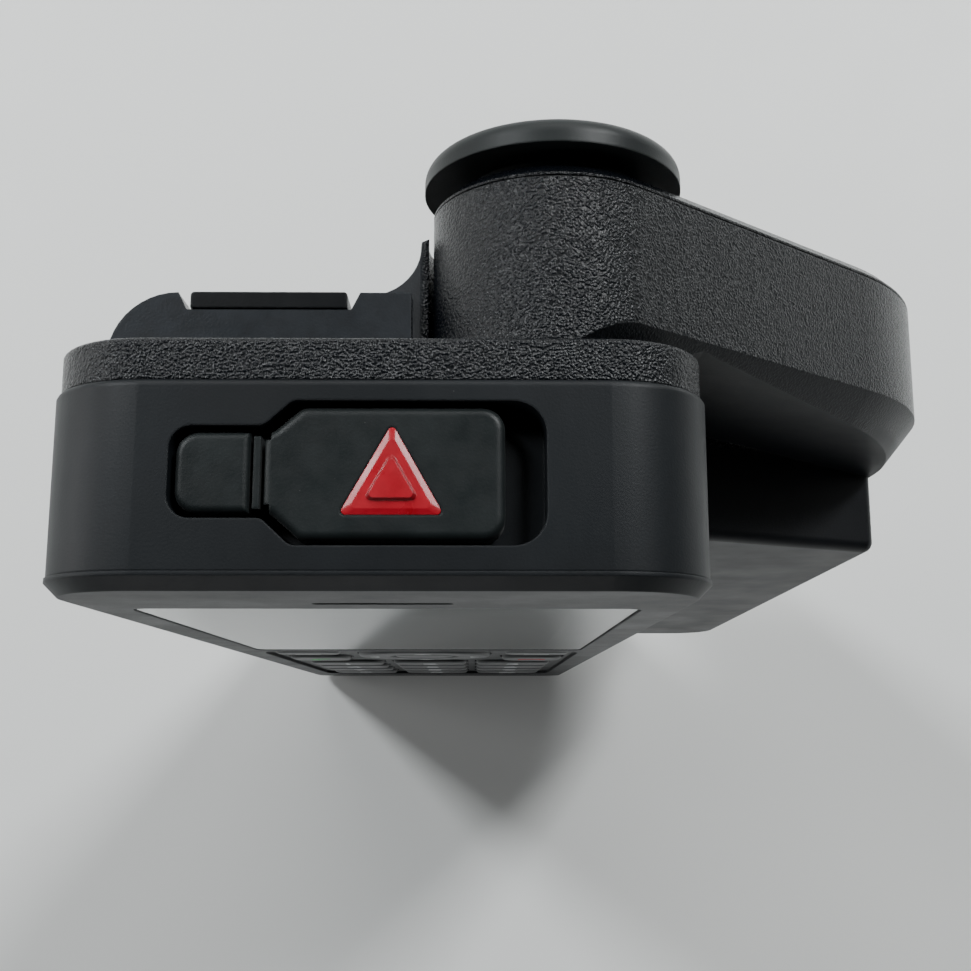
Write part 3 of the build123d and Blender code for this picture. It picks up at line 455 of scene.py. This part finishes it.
KEY_SIGNS = {"key_star": "*", "key_hash": "#"}
KEY_SIGNS.update({f"key_{digit}": str(digit) for digit in range(10)})
for key, sign in KEY_SIGNS.items():
    middle_x, middle_z, front_y = key_middle(key)
    legend(key + "_legend", sign, middle_x, middle_z, 5.2 * MM, front_y, key, INK_WHITE)


def handset_sign(name, key, material, turn):
    """Telephone receiver sign: a thick crescent between two arcs, turned by so many degrees."""
    middle_x, middle_z, front_y = key_middle(key)
    outline = []
    steps = 14
    for step in range(steps + 1):
        swing = math.radians(200 - 220 * step / steps)
        outline.append((2.0 * math.cos(swing) * MM, (1.5 * math.sin(swing) - 0.1) * MM))
    for step in range(steps + 1):
        swing = math.radians(-5 + 190 * step / steps)
        outline.append((1.05 * math.cos(swing) * MM, (0.62 * math.sin(swing) - 0.15) * MM))
    cos_turn, sin_turn = math.cos(math.radians(turn)), math.sin(math.radians(turn))
    spun = [(middle_x + x * cos_turn - z * sin_turn, middle_z + x * sin_turn + z * cos_turn)
            for x, z in outline]
    mesh = solid_from_loops([spun], front_y - LEGEND_HALF, front_y + LEGEND_HALF)
    return place_mesh(name, mesh, key, material)


handset_sign("key_call_sign", "key_call", INK_GREEN, 60)
handset_sign("key_end_sign", "key_end", INK_RED, 0)

BAR_HALF_LENGTH = 1.7 * MM
BAR_HALF_WIDTH = 0.25 * MM
BAR_CORNER = 0.24 * MM
for key in ("key_soft_left", "key_soft_right"):
    middle_x, middle_z, front_y = key_middle(key)
    edge = rounded_loop(middle_x - BAR_HALF_LENGTH, middle_x + BAR_HALF_LENGTH, middle_z - BAR_HALF_WIDTH,
                        middle_z + BAR_HALF_WIDTH, BAR_CORNER)
    bar = solid_from_loops([edge], front_y - LEGEND_HALF, front_y + LEGEND_HALF)
    place_mesh(key + "_sign", bar, key, INK_WHITE)

ring_x, ring_z, ring_y = key_middle("nav_ring")
ring_middle = 6.9 * MM
for arrow in range(4):
    angle = math.radians(90 * arrow)
    run = Vector((math.cos(angle), math.sin(angle)))
    side = Vector((-run.y, run.x))
    tip = run * (ring_middle + 0.7 * MM)
    tail = run * (ring_middle - 0.5 * MM)
    corners = [tip, tail + side * 1.1 * MM, tail - side * 1.1 * MM]
    mesh = solid_from_loops([[(ring_x + c.x, ring_z + c.y) for c in corners]], ring_y - LEGEND_HALF,
                            ring_y + LEGEND_HALF)
    place_mesh(f"nav_arrow_{arrow}", mesh, "nav_ring", INK_WHITE)

# Black print on the back of the window, with the view of the display left clear
PRINT_THICKNESS = 0.06 * MM
lens_low, lens_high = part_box("display_lens")
print_y = lens_high.y + 0.004 * MM
print_edge = rounded_loop(lens_low.x + 2.1 * MM, lens_high.x - 2.1 * MM, lens_low.z + 3.1 * MM,
                          lens_high.z - 3.6 * MM, 0.6 * MM)
clear_view = rounded_loop(-15.4 * MM, 15.4 * MM, 99.1 * MM, 145.4 * MM, 0.5 * MM)
mask = solid_from_loops([print_edge, clear_view], print_y, print_y + PRINT_THICKNESS)
place_mesh("window_print", mask, "handset", MASK_BLACK)

# Perforated grille behind the earpiece slot
GRILLE_HALF_LENGTH = 6.2 * MM
GRILLE_Z = (157.4 * MM, 159.4 * MM)
GRILLE_Y = (-11.2 * MM, -11.05 * MM)
HOLE_PITCH = 0.62 * MM
HOLE_ROW_PITCH = 0.42 * MM
HOLE_RADIUS = 0.16 * MM
HOLE_SIDES = 8
holes = []
for row in range(3):
    for column in range(16):
        hole_x = (column - 7.5 + 0.5 * (row % 2)) * HOLE_PITCH
        hole_z = 158.4 * MM + (row - 1) * HOLE_ROW_PITCH
        turns = [side * 2 * math.pi / HOLE_SIDES for side in range(HOLE_SIDES)]
        holes.append([(hole_x + HOLE_RADIUS * math.cos(turn), hole_z + HOLE_RADIUS * math.sin(turn))
                      for turn in turns])
grille_edge = rounded_loop(-GRILLE_HALF_LENGTH, GRILLE_HALF_LENGTH, *GRILLE_Z, 0.5 * MM)
grille = solid_from_loops([grille_edge] + holes, *GRILLE_Y)
place_mesh("earpiece_grille", grille, "handset", MATERIALS["plated_steel"])


# ---- stage ----
FLOOR_REACH = 4.0
floor_corners = [(x * FLOOR_REACH, y * FLOOR_REACH, 0) for x, y in ((-1, -1), (1, -1), (1, 1), (-1, 1))]
floor_mesh = bpy.data.meshes.new("stage_floor")
floor_mesh.from_pydata(floor_corners, [], [(0, 1, 2, 3)])
floor = bpy.data.objects.new("stage_floor", floor_mesh)
bpy.context.scene.collection.objects.link(floor)
floor.data.materials.append(pale_floor())


def soft_light(name, place, aim, width, height, power, colour=(1.0, 1.0, 1.0)):
    """Rectangular area light at a place, turned to face an aim point."""
    data = bpy.data.lights.new(name, "AREA")
    data.shape = "RECTANGLE"
    data.size = width
    data.size_y = height
    data.energy = power
    data.color = colour
    lamp = bpy.data.objects.new(name, data)
    bpy.context.scene.collection.objects.link(lamp)
    lamp.location = place
    lamp.rotation_euler = (Vector(aim) - Vector(place)).to_track_quat("-Z", "Y").to_euler()


AIM = (0.01, 0.0, 0.12)
soft_light("window_left", (-0.95, 0.80, 1.25), AIM, 0.26, 0.7, 17.0, (0.95, 0.98, 1.0))
soft_light("window_right", (0.75, 0.80, 1.15), AIM, 0.26, 0.7, 18.0, (0.97, 0.99, 1.0))
soft_light("behind", (0.0, 2.4, 1.4), (0.0, 0.35, 0.0), 2.4, 0.9, 26.0, (1.0, 1.0, 0.99))
soft_light("front_fill", (-0.4, -1.7, 0.45), (0.0, 0.0, 0.09), 1.3, 0.7, 6.0)
soft_light("side_left", (-2.0, 0.3, 0.7), (0.0, 0.1, 0.0), 0.8, 1.0, 11.0)

# Room light: bright towards the horizon behind the handset, dim overhead and on the viewer's side
world = bpy.data.worlds.new("studio")
world.use_nodes = True
sky = world.node_tree
direction = sky.nodes.new("ShaderNodeSeparateXYZ")
sky.links.new(sky.nodes.new("ShaderNodeTexCoord").outputs["Generated"], direction.inputs["Vector"])


def sky_range(axis, from_low, from_high, to_low, to_high):
    """Clamped straight-line change of range along one axis of the view direction."""
    node = sky.nodes.new("ShaderNodeMapRange")
    limits = {"From Min": from_low, "From Max": from_high, "To Min": to_low, "To Max": to_high}
    for key, number in limits.items():
        node.inputs[key].default_value = number
    sky.links.new(direction.outputs[axis], node.inputs["Value"])
    return node.outputs["Result"]


overhead = sky_range("Z", 0.25, 0.85, 1.0, 0.16)
depth_side = sky_range("Y", -0.4, 0.8, 0.14, 1.0)
strength = sky.nodes.new("ShaderNodeMath")
strength.operation = "MULTIPLY"
sky.links.new(overhead, strength.inputs[0])
sky.links.new(depth_side, strength.inputs[1])
gain = sky.nodes.new("ShaderNodeMath")
gain.operation = "MULTIPLY"
gain.inputs[1].default_value = 0.5
sky.links.new(strength.outputs[0], gain.inputs[0])
sky.nodes["Background"].inputs["Color"].default_value = (0.80, 0.83, 0.84, 1.0)
sky.links.new(gain.outputs[0], sky.nodes["Background"].inputs["Strength"])
bpy.context.scene.world = world

# ---- camera: above the top end, tipped a little towards the back, as the photographer held it ----
CAMERA_PLACE = (7.05 * MM, -20.7 * MM, 254.0 * MM)
right = Vector((1.0, 0.0, 0.0084)).normalized()
forward = Vector((0.0081, 0.184, -0.983)).normalized()
upward = right.cross(forward)
camera_data = bpy.data.cameras.new("camera")
camera_data.sensor_width = 36.0
camera_data.lens = 46.45
camera_data.clip_start = 0.005
camera = bpy.data.objects.new("camera", camera_data)
bpy.context.scene.collection.objects.link(camera)
turned = Matrix((right, upward, -forward)).transposed().to_4x4()
camera.matrix_world = Matrix.Translation(CAMERA_PLACE) @ turned
bpy.context.scene.camera = camera
